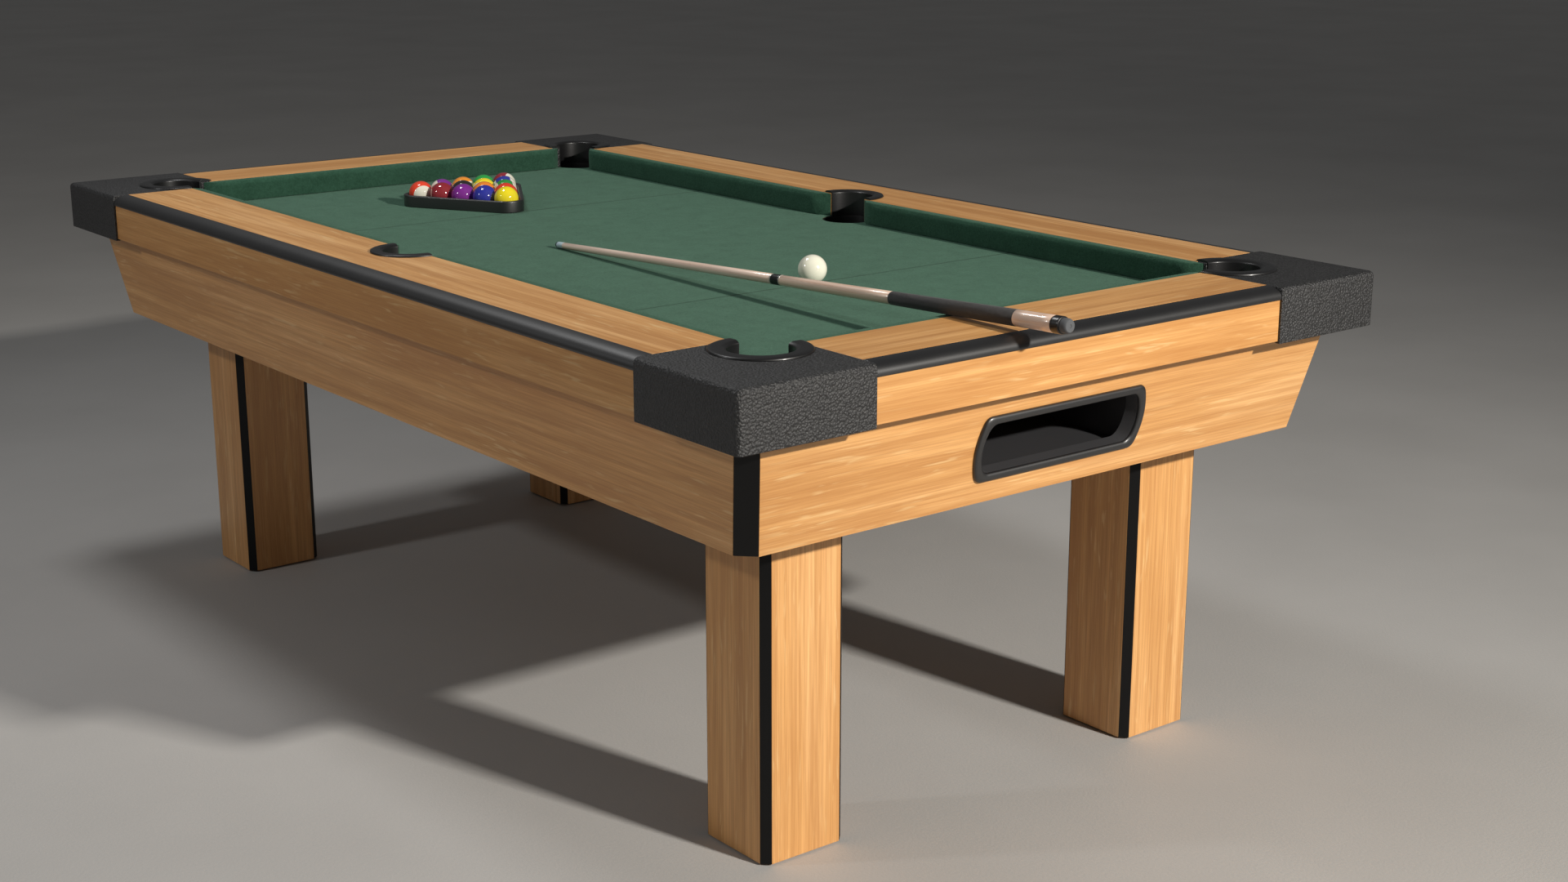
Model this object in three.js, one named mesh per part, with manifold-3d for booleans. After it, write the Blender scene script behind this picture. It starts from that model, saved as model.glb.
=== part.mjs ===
// A six-pocket home pool table with a ball return, its cue, a triangle rack and the balls.
// Millimetres, +Z up, floor at z = 0. X runs across the table and Y along it; the front (-Y) end
// holds the ball return. The origin is on the floor in the middle of the whole outline, the
// overhanging cue included.

import * as THREE from "three";
import { mergeVertices } from "three/addons/utils/BufferGeometryUtils.js";
import { ConvexGeometry } from "three/addons/geometries/ConvexGeometry.js";
import { RoundedBoxGeometry } from "three/addons/geometries/RoundedBoxGeometry.js";
import Module from "manifold-3d";

const wasm = await Module();
wasm.setup();

// ---------------------------------------------------------------- driving dimensions

const gap = 0.3; // clearance between pieces that touch
const roundSteps = 24; // segments in a full circle
const past = 1; // how far a cutting shape runs on past the faces that it cuts
const wellPast = 60; // the same for one that crosses a leaning panel or a whole corner

const table = { width: 1346, length: 2350, height: 822 };
const bed = { top: 776, cloth: 1.5, slab: 25, edgeInset: 32 };
const rail = { outerInset: 33, innerInset: 171.5, apronInset: 4, apronThick: 20, apronBottom: 733 };
const bumper = { bottom: 802, outerInset: 1 };
const cushion = { noseInset: 193, sideNose: 82, sideHeel: 53, cornerNose: 249, cornerHeel: 228 };
const casting = { side: 242, bottom: 729, wall: 10, round: 9 };
const pocket = { inset: 170, radius: 49.4, wall: 2.6, bottom: 705 };
const pocketRim = { side: 72.5, corner: 77, thick: 4 };
const cabinet = { bottom: 549, thick: 18, corner: 26 };
const panelInset = { sideTop: 42.3, sideBottom: 75, endTop: 39.8, endBottom: 86.9 };
const leg = { inset: 196, side: 160, bottom: 3, top: 605, trim: 13, plateTop: 615 };
const leveller = { padRadius: 22, padTop: 8, studRadius: 6, studTop: 70, play: 1 };
const beam = { width: 60, reach: 606, deepReach: 440, endBottom: 713, endY: 859, middleY: 300 };
const mouth = { top: 693, height: 111, halfWidth: 169, bulge: 13, cornerRound: 11, frame: 14, proud: 5 };
const tray = { halfWidth: 166, back: 283, wall: 4, top: 688, clearance: 2 };
const trayFloor = { back: 600, front: 594 };
const gully = { inside: 104, crossInside: 60, wall: 4, wallHigh: 40, endInset: 117, crossInset: 250 };
const hanger = { y: 600, width: 40, overlap: 10 };
const gullyFloor = { back: 662, front: 633, junction: 628, outlet: 621 };
const ball = { radius: 25.4, offCentre: 8, cueSpot: -493, footSpot: 519, pitch: 51.1, neck: 3.5 };
const rack = { wall: 9, clearance: 2, height: 24.5 };
const cue = { length: 1334, tipX: -148, tipY: 82, swing: 0.6, tipRadius: 5.9, restRadius: 11.75 };

// ---------------------------------------------------------------- derived dimensions

const halfWidth = table.width / 2;
const halfLength = table.length / 2;
const slabTop = bed.top - bed.cloth - gap;
const slabBottom = slabTop - bed.slab;
const railBottom = bed.top + gap;
const cabinetTop = slabBottom - gap;
const linerRadius = pocket.radius + pocket.wall;
const degrees = Math.PI / 180;

// ---------------------------------------------------------------- materials

function finish(color, roughness, metalness = 0) {
  return new THREE.MeshStandardMaterial({ color, roughness, metalness });
}

const wood = finish(0xc8935a, 0.45);
const innerWood = finish(0xb08a5c, 0.8);
const blackLeather = finish(0x2c2c2c, 0.6);
const blackSatin = finish(0x17181a, 0.35);
const blackTrim = finish(0x111213, 0.5);
const linerPlastic = finish(0x1b1a1b, 0.45);
const bedBoard = finish(0x8a6f52, 0.85);
const cloth = finish(0x446454, 0.95);
const steel = finish(0x9a9c9e, 0.35, 1);
const ivory = finish(0xdeddc4, 0.12);
const ballColours = finish(0xc92f1b, 0.12);
const maple = finish(0xd0ab92, 0.3);
const greyRubber = finish(0x6f7276, 0.8);

// ---------------------------------------------------------------- solids

function toSolid(geometry) {
  const bare = geometry.clone();
  bare.deleteAttribute("normal");
  bare.deleteAttribute("uv");
  const merged = mergeVertices(bare, 1e-3);
  return new wasm.Manifold(
    new wasm.Mesh({
      numProp: 3,
      vertProperties: merged.attributes.position.array,
      triVerts: new Uint32Array(merged.index.array),
    }),
  );
}

function toGeometry(solid) {
  const mesh = solid.getMesh();
  const geometry = new THREE.BufferGeometry();
  geometry.setAttribute("position", new THREE.BufferAttribute(mesh.vertProperties, 3));
  geometry.setIndex(new THREE.BufferAttribute(mesh.triVerts, 1));
  return geometry;
}

function join(first, ...others) {
  return toGeometry(others.reduce((solid, other) => solid.add(toSolid(other)), toSolid(first)));
}

function cut(first, ...others) {
  return toGeometry(others.reduce((solid, other) => solid.subtract(toSolid(other)), toSolid(first)));
}

// A box between two corners.
function box(low, high) {
  const size = high.map((value, i) => value - low[i]);
  const middle = high.map((value, i) => (value + low[i]) / 2);
  return new THREE.BoxGeometry(...size).translate(...middle);
}

// An upright cylinder standing on (x, y, bottom).
function post(x, y, radius, bottom, top, steps = roundSteps) {
  const shape = new THREE.CylinderGeometry(radius, radius, top - bottom, steps);
  return shape.rotateX(Math.PI / 2).translate(x, y, (bottom + top) / 2);
}

function outline(points) {
  return new THREE.Shape(points.map(([x, y]) => new THREE.Vector2(x, y)));
}

// A plan outline raised from bottom to top.
function upright(shape, bottom, top) {
  const options = { depth: top - bottom, bevelEnabled: false, curveSegments: 6 };
  return new THREE.ExtrudeGeometry(shape, options).translate(0, 0, bottom);
}

// A section drawn as (inset, height) and run along local X from one end to the other.
function runAlongX(shape, from, to) {
  const options = { depth: to - from, bevelEnabled: false, curveSegments: 6 };
  const turn = new THREE.Matrix4().makeBasis(
    new THREE.Vector3(0, 1, 0),
    new THREE.Vector3(0, 0, 1),
    new THREE.Vector3(1, 0, 0),
  );
  return new THREE.ExtrudeGeometry(shape, options).applyMatrix4(turn).translate(from, 0, 0);
}

// ---------------------------------------------------------------- places

const set = new THREE.Group();
const centred = new THREE.Group();
set.add(centred);

function place(name, geometry, material, parent = centred) {
  const mesh = new THREE.Mesh(geometry, material);
  mesh.name = name;
  parent.add(mesh);
  return mesh;
}

// Each side has its own frame: X along the side, Y inwards from its outer face.
const sides = [
  { name: "front", x: 0, y: -halfLength, turn: 0, length: table.width },
  { name: "right", x: halfWidth, y: 0, turn: 90, length: table.length },
  { name: "back", x: 0, y: halfLength, turn: 180, length: table.width },
  { name: "left", x: -halfWidth, y: 0, turn: 270, length: table.length },
];

// Each corner has its own frame: X and Y are the insets from its two outer faces.
const corners = [
  { name: "front_left", x: -halfWidth, y: -halfLength, turn: 0 },
  { name: "front_right", x: halfWidth, y: -halfLength, turn: 90 },
  { name: "back_right", x: halfWidth, y: halfLength, turn: 180 },
  { name: "back_left", x: -halfWidth, y: halfLength, turn: 270 },
];

function localFrame(spot) {
  const group = new THREE.Group();
  group.position.set(spot.x, spot.y, 0);
  group.rotation.z = spot.turn * degrees;
  centred.add(group);
  return group;
}

function isLong(side) {
  return side.length === table.length;
}

// ---------------------------------------------------------------- bed

function pocketCentres() {
  const x = halfWidth - pocket.inset;
  const y = halfLength - pocket.inset;
  return [-x, x].flatMap((px) => [-y, 0, y].map((py) => [px, py]));
}

function bedPlate(inset, holeRadius, bottom, top) {
  const x = halfWidth - inset;
  const y = halfLength - inset;
  const holes = pocketCentres().map(([px, py]) => post(px, py, holeRadius, bottom - past, top + past));
  return cut(box([-x, -y, bottom], [x, y, top]), ...holes);
}

function addBed() {
  place("bed_slab", bedPlate(bed.edgeInset, linerRadius + gap, slabBottom, slabTop), bedBoard);
  const clothBottom = bed.top - bed.cloth;
  place("bed_cloth", bedPlate(bed.edgeInset, linerRadius + gap, clothBottom, bed.top), cloth);
}

// Four cross-beams carry the slab between the side panels, two of them on the tops of the legs.
// Their ends are cut away below, where the ball gullies pass.
function addBeams() {
  const spots = { front: -beam.endY, mid_front: -beam.middleY, mid_back: beam.middleY, back: beam.endY };
  const { reach, deepReach, endBottom, width } = beam;
  const top = cabinetTop;
  const bottom = leg.plateTop + gap;
  const elevation = [
    [-deepReach, bottom],
    [deepReach, bottom],
    [deepReach, endBottom],
    [reach, endBottom],
    [reach, top],
    [-reach, top],
    [-reach, endBottom],
    [-deepReach, endBottom],
  ];
  for (const [name, y] of Object.entries(spots)) {
    const board = upright(outline(elevation), -width / 2, width / 2);
    place(`bed_beam_${name}`, board.rotateX(Math.PI / 2).translate(0, y, 0), innerWood);
  }
}

// ---------------------------------------------------------------- rails, bumpers and cushions

// The rail board lies on the slab's edge, and its apron hangs down outside the cabinet.
function railSection() {
  const apronTop = bumper.bottom - gap;
  return outline([
    [rail.apronInset, rail.apronBottom],
    [rail.apronInset + rail.apronThick, rail.apronBottom],
    [rail.apronInset + rail.apronThick, railBottom],
    [rail.innerInset, railBottom],
    [rail.innerInset, table.height],
    [rail.outerInset + gap, table.height],
    [rail.outerInset + gap, apronTop],
    [rail.apronInset, apronTop],
  ]);
}

function addRail(side, frame) {
  const end = side.length / 2 - casting.side - gap;
  const board = runAlongX(railSection(), -end, end);
  const throat = post(0, pocket.inset, linerRadius + gap, railBottom - past, table.height + past);
  const name = isLong(side) ? "side_rail" : "end_rail";
  place(`${name}_${side.name}`, isLong(side) ? cut(board, throat) : board, wood, frame);
}

// A quarter-round moulding along the rail's outer top edge.
function addBumper(side, frame) {
  const end = side.length / 2 - casting.side - gap;
  const section = new THREE.Shape();
  section.moveTo(bumper.outerInset, bumper.bottom);
  section.lineTo(rail.outerInset, bumper.bottom);
  section.lineTo(rail.outerInset, table.height);
  const acrossRadius = rail.outerInset - bumper.outerInset;
  const upRadius = table.height - bumper.bottom;
  section.absellipse(rail.outerInset, bumper.bottom, acrossRadius, upRadius, Math.PI / 2, Math.PI);
  place(`edge_bumper_${side.name}`, runAlongX(section, -end, end), blackSatin, frame);
}

// A cushion is a trapezium in plan: its ends are cut back towards the pockets.
function cushionBlock(noseFrom, noseTo, heelFrom, heelTo) {
  const back = rail.innerInset + gap;
  const plan = outline([
    [heelFrom, back],
    [heelTo, back],
    [noseTo, cushion.noseInset],
    [noseFrom, cushion.noseInset],
  ]);
  return upright(plan, railBottom, table.height);
}

function addCushions(side, frame) {
  const nose = side.length / 2 - cushion.cornerNose;
  const heel = side.length / 2 - cushion.cornerHeel;
  if (!isLong(side)) {
    place(`cushion_${side.name}`, cushionBlock(-nose, nose, -heel, heel), cloth, frame);
    return;
  }
  const [low, high] = side.name === "right" ? ["front", "back"] : ["back", "front"];
  const lowBlock = cushionBlock(-nose, -cushion.sideNose, -heel, -cushion.sideHeel);
  const highBlock = cushionBlock(cushion.sideNose, nose, cushion.sideHeel, heel);
  place(`cushion_${side.name}_${low}`, lowBlock, cloth, frame);
  place(`cushion_${side.name}_${high}`, highBlock, cloth, frame);
}

// ---------------------------------------------------------------- corner castings and pockets

function addCasting(corner, frame) {
  const far = casting.side + 2 * casting.round;
  const high = table.height - casting.bottom + 2 * casting.round;
  const block = new RoundedBoxGeometry(far, far, high, 3, casting.round);
  block.translate(far / 2, far / 2, table.height - high / 2);
  const bottom = casting.bottom - wellPast;
  const top = table.height + past;
  const opening = rail.innerInset;
  const geometry = cut(
    block,
    box([casting.side, -past, bottom], [far + past, far + past, top]),
    box([-past, casting.side, bottom], [far + past, far + past, top]),
    box([-past, -past, bottom], [far, far, casting.bottom]),
    box([casting.wall, casting.wall, bottom], [far, far, railBottom]),
    box([opening, opening, bottom], [far, far, top]),
    post(pocket.inset, pocket.inset, linerRadius + gap, bottom, top),
  );
  place(`corner_casting_${corner.name}`, geometry, blackLeather, frame);
}

// A pocket liner is a sleeve through the slab with a C-shaped rim on the rail. Above the cloth it
// stands only where there is rail or casting behind it.
function linerGeometry(x, y, rimRadius, openFrom) {
  const rimTop = table.height + gap + pocketRim.thick;
  const sleeve = post(x, y, linerRadius, pocket.bottom, rimTop);
  const rim = post(x, y, rimRadius, table.height + gap, rimTop);
  const bore = post(x, y, pocket.radius, pocket.bottom - past, rimTop + past);
  const far = rimRadius + wellPast;
  const mouthSide = box([openFrom, rail.innerInset, slabTop], [x + far, y + far, rimTop + past]);
  return cut(join(sleeve, rim), bore, mouthSide);
}

function addCornerPocket(corner, frame) {
  const geometry = linerGeometry(pocket.inset, pocket.inset, pocketRim.corner, rail.innerInset);
  place(`pocket_liner_${corner.name}`, geometry, linerPlastic, frame);
}

function addSidePocket(side, frame) {
  const geometry = linerGeometry(0, pocket.inset, pocketRim.side, -pocketRim.side - past);
  place(`pocket_liner_middle_${side.name}`, geometry, linerPlastic, frame);
}

// ---------------------------------------------------------------- cabinet

// How far the cabinet's outer face stands in from the table's outer face at a given height.
function leanInset(top, bottom, height) {
  const share = (cabinetTop - height) / (cabinetTop - cabinet.bottom);
  return top + (bottom - top) * share;
}

function sideInset(height) {
  return leanInset(panelInset.sideTop, panelInset.sideBottom, height);
}

function endInset(height) {
  return leanInset(panelInset.endTop, panelInset.endBottom, height);
}

function hull(points) {
  return new ConvexGeometry(points.map(([x, y, z]) => new THREE.Vector3(x, y, z)));
}

function panelGeometry(side) {
  const ownInset = isLong(side) ? sideInset : endInset;
  const crossInset = isLong(side) ? endInset : sideInset;
  const points = [cabinetTop, cabinet.bottom].flatMap((z) => {
    const end = side.length / 2 - crossInset(z) - cabinet.corner - gap;
    const face = ownInset(z);
    return [-end, end].flatMap((x) => [[x, face, z], [x, face + cabinet.thick, z]]);
  });
  return hull(points);
}

// The opening's outline on the leaning front face: straight top and bottom, bowed ends and
// rounded corners.
function mouthOutline(margin) {
  const half = mouth.halfWidth + margin;
  const up = mouth.height / 2 + margin;
  const round = mouth.cornerRound;
  const bowRadius = (up * up + mouth.bulge * mouth.bulge) / (2 * mouth.bulge);
  const bowCentre = half + mouth.bulge - bowRadius;
  const bowAngle = Math.asin((up - round) / bowRadius);
  const shape = new THREE.Shape();
  shape.moveTo(round - half, -up);
  shape.lineTo(half - round, -up);
  shape.quadraticCurveTo(half, -up, bowCentre + bowRadius * Math.cos(bowAngle), round - up);
  shape.absarc(bowCentre, 0, bowRadius, -bowAngle, bowAngle, false);
  shape.quadraticCurveTo(half, up, half - round, up);
  shape.lineTo(round - half, up);
  shape.quadraticCurveTo(-half, up, -bowCentre - bowRadius * Math.cos(bowAngle), up - round);
  shape.absarc(-bowCentre, 0, bowRadius, Math.PI - bowAngle, Math.PI + bowAngle, false);
  shape.quadraticCurveTo(-half, -up, round - half, -up);
  return shape;
}

// A prism square to the leaning front face, from so far behind it to so far in front of it.
function throughFront(shape, behind, before) {
  const options = { depth: behind + before, bevelEnabled: false, curveSegments: 8 };
  const lean = Math.atan2(panelInset.endBottom - panelInset.endTop, cabinetTop - cabinet.bottom);
  const middle = mouth.top - (mouth.height / 2) * Math.cos(lean);
  const geometry = new THREE.ExtrudeGeometry(shape, options).translate(0, 0, -behind);
  return geometry.rotateX(Math.PI / 2 + lean).translate(0, endInset(middle), middle);
}

function addPanel(side, frame) {
  const plain = panelGeometry(side);
  const hole = throughFront(mouthOutline(-mouth.frame / 2), wellPast, wellPast);
  const geometry = side.name === "front" ? cut(plain, hole) : plain;
  place(`cabinet_panel_${side.name}`, geometry, wood, frame);
}

function addCornerStrip(corner, frame) {
  const swapped = corner.turn % 180 !== 0;
  const points = [cabinetTop, cabinet.bottom].flatMap((z) => {
    const x = swapped ? endInset(z) : sideInset(z);
    const y = swapped ? sideInset(z) : endInset(z);
    const c = cabinet.corner;
    return [[x, y + c, z], [x + c, y, z], [x + c, y + c, z]];
  });
  place(`cabinet_corner_${corner.name}`, hull(points), blackTrim, frame);
}

// ---------------------------------------------------------------- ball return

function addBezel(frame) {
  const ring = throughFront(mouthOutline(0), -gap, mouth.proud);
  const sleeve = throughFront(mouthOutline(-mouth.frame / 2 - gap), cabinet.thick, mouth.proud);
  const opening = throughFront(mouthOutline(-mouth.frame), wellPast, wellPast);
  place("ball_return_bezel", cut(join(ring, sleeve), opening), blackSatin, frame);
}

// The tray behind the opening: a floor that falls to the front, a back wall, and cheeks with a
// notch for each gully's end.
function addTray(frame) {
  const { halfWidth: half, back, wall, top } = tray;
  const behindPanel = (height) => endInset(height) + cabinet.thick + tray.clearance;
  const front = behindPanel(trayFloor.front);
  const floorAndBack = outline([
    [front, trayFloor.front - wall],
    [back, trayFloor.back - wall],
    [back, top],
    [back - wall, top],
    [back - wall, trayFloor.back],
    [front, trayFloor.front],
  ]);
  const cheek = outline([
    [front, trayFloor.front - wall],
    [back, trayFloor.back - wall],
    [back, top],
    [behindPanel(top), top],
  ]);
  const cheeks = join(runAlongX(cheek, -half, wall - half), runAlongX(cheek, half - wall, half));
  const halfNotch = gully.crossInside / 2;
  const notch = box(
    [-half - past, gully.crossInset - halfNotch, gullyFloor.outlet - past],
    [half + past, gully.crossInset + halfNotch, top + past],
  );
  const geometry = join(runAlongX(floorAndBack, -half, half), cut(cheeks, notch));
  place("ball_return_tray", geometry, linerPlastic, frame);
}

// A straight sloping bar whose underside starts at one floor point and ends at another, sunk by a drop.
function slopingBar(from, to, width, drop, height) {
  const run = new THREE.Vector3().subVectors(to, from);
  const along = run.clone().normalize();
  const across = new THREE.Vector3(-run.y, run.x, 0).normalize();
  const upwards = new THREE.Vector3().crossVectors(along, across);
  const bar = new THREE.BoxGeometry(run.length(), width, height + drop);
  bar.translate(run.length() / 2, 0, (height - drop) / 2);
  bar.applyMatrix4(new THREE.Matrix4().makeBasis(along, across, upwards));
  return bar.translate(from.x, from.y, from.z);
}

// Two floor points moved apart along their line, one by each amount.
function lengthened(from, to, before, after) {
  const along = new THREE.Vector3().subVectors(to, from).normalize();
  return [from.clone().addScaledVector(along, -before), to.clone().addScaledVector(along, after)];
}

// A gully as wide as the liners runs under the three pockets of one side, falling from both ends
// to a junction near the front, and a narrower one leads across to the tray. Two straps hang it
// from the slab.
function addGully(name, sign) {
  const x = sign * (halfWidth - pocket.inset);
  const point = (px, py, pz) => new THREE.Vector3(px, py, pz);
  const junctionY = gully.crossInset - halfLength;
  const junction = point(x, junctionY, gullyFloor.junction);
  const back = point(x, halfLength - gully.endInset, gullyFloor.back);
  const front = point(x, gully.endInset - halfLength, gullyFloor.front);
  const outlet = point(sign * (tray.halfWidth + past), junctionY, gullyFloor.outlet);
  const halfInside = gully.inside / 2;
  const halfCross = gully.crossInside / 2;
  const runs = [
    [gully.inside, ...lengthened(back, junction, gully.wall, halfCross)],
    [gully.inside, ...lengthened(front, junction, gully.wall, halfCross)],
    [gully.crossInside, ...lengthened(junction, outlet, halfInside + gully.wall, 0)],
  ];
  const channels = [
    [gully.inside, ...lengthened(back, junction, 0, halfCross)],
    [gully.inside, ...lengthened(front, junction, 0, halfCross)],
    [gully.crossInside, ...lengthened(junction, outlet, halfInside, past)],
  ];
  const wallX = x + sign * (halfInside + gully.wall / 2);
  const straps = [-hanger.y, hanger.y].map((y) =>
    box(
      [wallX - gully.wall / 2, y - hanger.width / 2, gullyFloor.junction + hanger.overlap],
      [wallX + gully.wall / 2, y + hanger.width / 2, cabinetTop],
    ),
  );
  const shells = runs.map(([inside, from, to]) => {
    return slopingBar(from, to, inside + 2 * gully.wall, gully.wall, gully.wallHigh);
  });
  const hollows = channels.map(([inside, from, to]) => slopingBar(from, to, inside, 0, wellPast));
  place(`ball_gully_${name}`, cut(join(...shells, ...straps), ...hollows), linerPlastic);
}

// ---------------------------------------------------------------- legs

function legPlan() {
  const far = leg.side;
  const notch = leg.trim + gap;
  return outline([
    [notch, 0],
    [far - notch, 0],
    [far - notch, notch],
    [far, notch],
    [far, far - notch],
    [far - notch, far - notch],
    [far - notch, far],
    [notch, far],
    [notch, far - notch],
    [0, far - notch],
    [0, notch],
    [notch, notch],
  ]);
}

function addLeg(corner, frame) {
  const stand = new THREE.Group();
  stand.position.set(leg.inset, leg.inset, 0);
  frame.add(stand);
  const middle = leg.side / 2;

  const recess = post(middle, middle, leveller.padRadius + leveller.play, 0, leveller.padTop + gap);
  const studHole = post(middle, middle, leveller.studRadius + leveller.play, 0, leveller.studTop + gap);
  const column = cut(upright(legPlan(), leg.bottom, leg.top), recess, studHole);
  place(`leg_${corner.name}`, column, wood, stand);

  // Four corner strips, held together by the leg's mounting plate inside the cabinet.
  const c = leg.trim;
  const atEachCorner = (geometry) =>
    [0, 90, 180, 270].map((turn) => {
      const moved = geometry.clone().translate(-middle, -middle, 0);
      return moved.rotateZ(turn * degrees).translate(middle, middle, 0);
    });
  const strip = upright(outline([[c, 0], [c, c], [0, c]]), leg.bottom, leg.plateTop);
  const plate = box([0, 0, leg.top + gap], [leg.side, leg.side, leg.plateTop]);
  const wedgePlan = outline([[-past, -past], [c, -past], [c, 0], [0, c], [-past, c]]);
  const wedge = upright(wedgePlan, leg.top - past, leg.plateTop + past);
  const trim = join(cut(plate, ...atEachCorner(wedge)), ...atEachCorner(strip));
  place(`leg_trim_${corner.name}`, trim, blackTrim, stand);

  const foot = join(
    post(middle, middle, leveller.padRadius, 0, leveller.padTop),
    post(middle, middle, leveller.studRadius, past, leveller.studTop),
  );
  place(`leg_leveller_${corner.name}`, foot, steel, stand);
}

// ---------------------------------------------------------------- balls and rack

function addCueBall() {
  const geometry = new THREE.IcosahedronGeometry(ball.radius, 3);
  const mesh = place("cue_ball", geometry, ivory);
  mesh.position.set(ball.offCentre, ball.cueSpot, bed.top + ball.radius + gap);
}

// Ball centres of a five-row triangle, with its apex at the origin and its rows towards +Y.
function rackedCentres() {
  const rows = [0, 1, 2, 3, 4];
  return rows.flatMap((row) => {
    const y = row * ball.pitch * Math.cos(30 * degrees);
    return rows.slice(0, row + 1).map((place) => [(place - row / 2) * ball.pitch, y]);
  });
}

// A neck through the contact of two touching balls, so that the set is one solid.
function neckBetween([ax, ay], [bx, by]) {
  const neck = new THREE.CylinderGeometry(ball.neck, ball.neck, ball.pitch - ball.radius, 6);
  const turn = Math.atan2(by - ay, bx - ax) - Math.PI / 2;
  return neck.rotateZ(turn).translate((ax + bx) / 2, (ay + by) / 2, 0);
}

function addRackedBalls() {
  const centres = rackedCentres();
  const sphere = new THREE.IcosahedronGeometry(ball.radius, 2);
  const balls = centres.map(([x, y]) => sphere.clone().translate(x, y, 0));
  const necks = centres.flatMap((a, i) =>
    centres
      .slice(i + 1)
      .filter((b) => Math.hypot(a[0] - b[0], a[1] - b[1]) < ball.pitch + past)
      .map((b) => neckBetween(a, b)),
  );
  const mesh = place("racked_balls", join(...balls, ...necks), ballColours);
  mesh.position.set(ball.offCentre, ball.footSpot, bed.top + ball.radius + gap);
}

// A triangle with rounded corners at a given distance outside the outer balls' centres.
function triangleOutline(distance) {
  const side = 4 * ball.pitch;
  const tall = side * Math.cos(30 * degrees);
  const apexes = [[0, 0], [side / 2, tall], [-side / 2, tall]];
  const shape = new THREE.Shape();
  apexes.forEach(([x, y], i) => {
    const start = (-150 + 120 * i) * degrees;
    shape.absarc(x, y, distance, start, start + 120 * degrees, false);
  });
  return shape;
}

function addRack() {
  const inside = ball.radius + rack.clearance;
  const ring = triangleOutline(inside + rack.wall);
  ring.holes.push(triangleOutline(inside));
  const mesh = place("rack_triangle", upright(ring, 0, rack.height), blackSatin);
  mesh.position.set(ball.offCentre, ball.footSpot, bed.top + gap);
}

// ---------------------------------------------------------------- cue

// The cue's outline from the tip (0) to the end of its rubber bumper, as shares of its length and radii.
const cueStations = {
  shaft: [[0, 4.5], [0.004, 5.9], [0.25, 7.1], [0.479, 8.8]],
  butt: [[0.479, 8.8], [0.702, 10.5], [0.909, 12.6], [0.971, 13.3], [0.987, 13.1]],
  bumper: [[0.987, 10.8], [0.996, 10.4], [1, 8.8]],
};

function turned(stations, startGap) {
  const along = stations.map(([share, radius], i) => {
    const y = share * cue.length + (i === 0 ? startGap : 0);
    return new THREE.Vector2(radius, y);
  });
  const first = new THREE.Vector2(0, along[0].y);
  const last = new THREE.Vector2(0, along[along.length - 1].y);
  return new THREE.LatheGeometry([first, ...along, last], roundSteps);
}

// The cue lies with its tip on the cloth and its butt across the front cushion's nose.
function cueTilt() {
  const noseY = -halfLength + cushion.noseInset;
  const rise = table.height + cue.restRadius - bed.top - cue.tipRadius;
  return Math.atan2(rise, cue.tipY - noseY);
}

function addCue() {
  const heading = new THREE.Group();
  heading.position.set(cue.tipX, cue.tipY, bed.top + cue.tipRadius + gap);
  heading.rotation.z = cue.swing * degrees;
  centred.add(heading);
  const lying = new THREE.Group();
  lying.rotation.x = Math.PI - cueTilt();
  heading.add(lying);
  place("cue_shaft", turned(cueStations.shaft, 0), maple, lying);
  place("cue_butt", turned(cueStations.butt, gap), maple, lying);
  place("cue_bumper", turned(cueStations.bumper, gap), greyRubber, lying);
}

// ---------------------------------------------------------------- assembly

addBed();
addBeams();

for (const side of sides) {
  const frame = localFrame(side);
  addRail(side, frame);
  addBumper(side, frame);
  addCushions(side, frame);
  addPanel(side, frame);
  if (isLong(side)) addSidePocket(side, frame);
  if (side.name === "front") {
    addBezel(frame);
    addTray(frame);
  }
}

for (const corner of corners) {
  const frame = localFrame(corner);
  addCasting(corner, frame);
  addCornerPocket(corner, frame);
  addCornerStrip(corner, frame);
  addLeg(corner, frame);
}

addGully("left", -1);
addGully("right", 1);
addCueBall();
addRackedBalls();
addRack();
addCue();

// The cue's end passes the front of the table, so the table stands half of that back from the origin.
const cueReach = cue.length * Math.cos(cueTilt()) * Math.cos(cue.swing * degrees) - cue.tipY;
centred.position.y = (cueReach - halfLength) / 2;

export default set;
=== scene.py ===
"""Looks of a home pool table with its cue, rack and balls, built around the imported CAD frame.

Metres, +Z up. X runs across the table, Y along it, and the ball return is at the front (-Y) end.
"""

import math

import bmesh
import bpy
from mathutils import Matrix, Vector
from mathutils.geometry import delaunay_2d_cdt


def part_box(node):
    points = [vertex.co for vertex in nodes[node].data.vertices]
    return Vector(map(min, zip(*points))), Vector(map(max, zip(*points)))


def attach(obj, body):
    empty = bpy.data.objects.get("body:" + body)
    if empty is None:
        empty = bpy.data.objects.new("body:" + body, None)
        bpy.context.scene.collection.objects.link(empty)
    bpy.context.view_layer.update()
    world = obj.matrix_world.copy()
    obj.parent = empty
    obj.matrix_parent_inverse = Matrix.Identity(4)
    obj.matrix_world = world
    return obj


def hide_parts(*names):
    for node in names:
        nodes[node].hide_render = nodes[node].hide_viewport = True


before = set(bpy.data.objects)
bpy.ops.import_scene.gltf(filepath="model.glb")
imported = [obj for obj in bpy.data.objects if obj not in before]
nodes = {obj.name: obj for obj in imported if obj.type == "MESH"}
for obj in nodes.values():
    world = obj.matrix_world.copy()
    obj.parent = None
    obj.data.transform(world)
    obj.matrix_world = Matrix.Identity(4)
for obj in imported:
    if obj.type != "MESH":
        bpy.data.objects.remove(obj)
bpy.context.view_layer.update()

# ---------------------------------------------------------------- sizes, from the frame

LEFT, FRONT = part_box("corner_casting_front_left")[0].xy
RIGHT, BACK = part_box("corner_casting_back_right")[1].xy
MIDDLE_Y = (FRONT + BACK) / 2
RAIL_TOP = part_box("end_rail_front")[1].z
BED_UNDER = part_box("bed_cloth")[0].z

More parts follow.
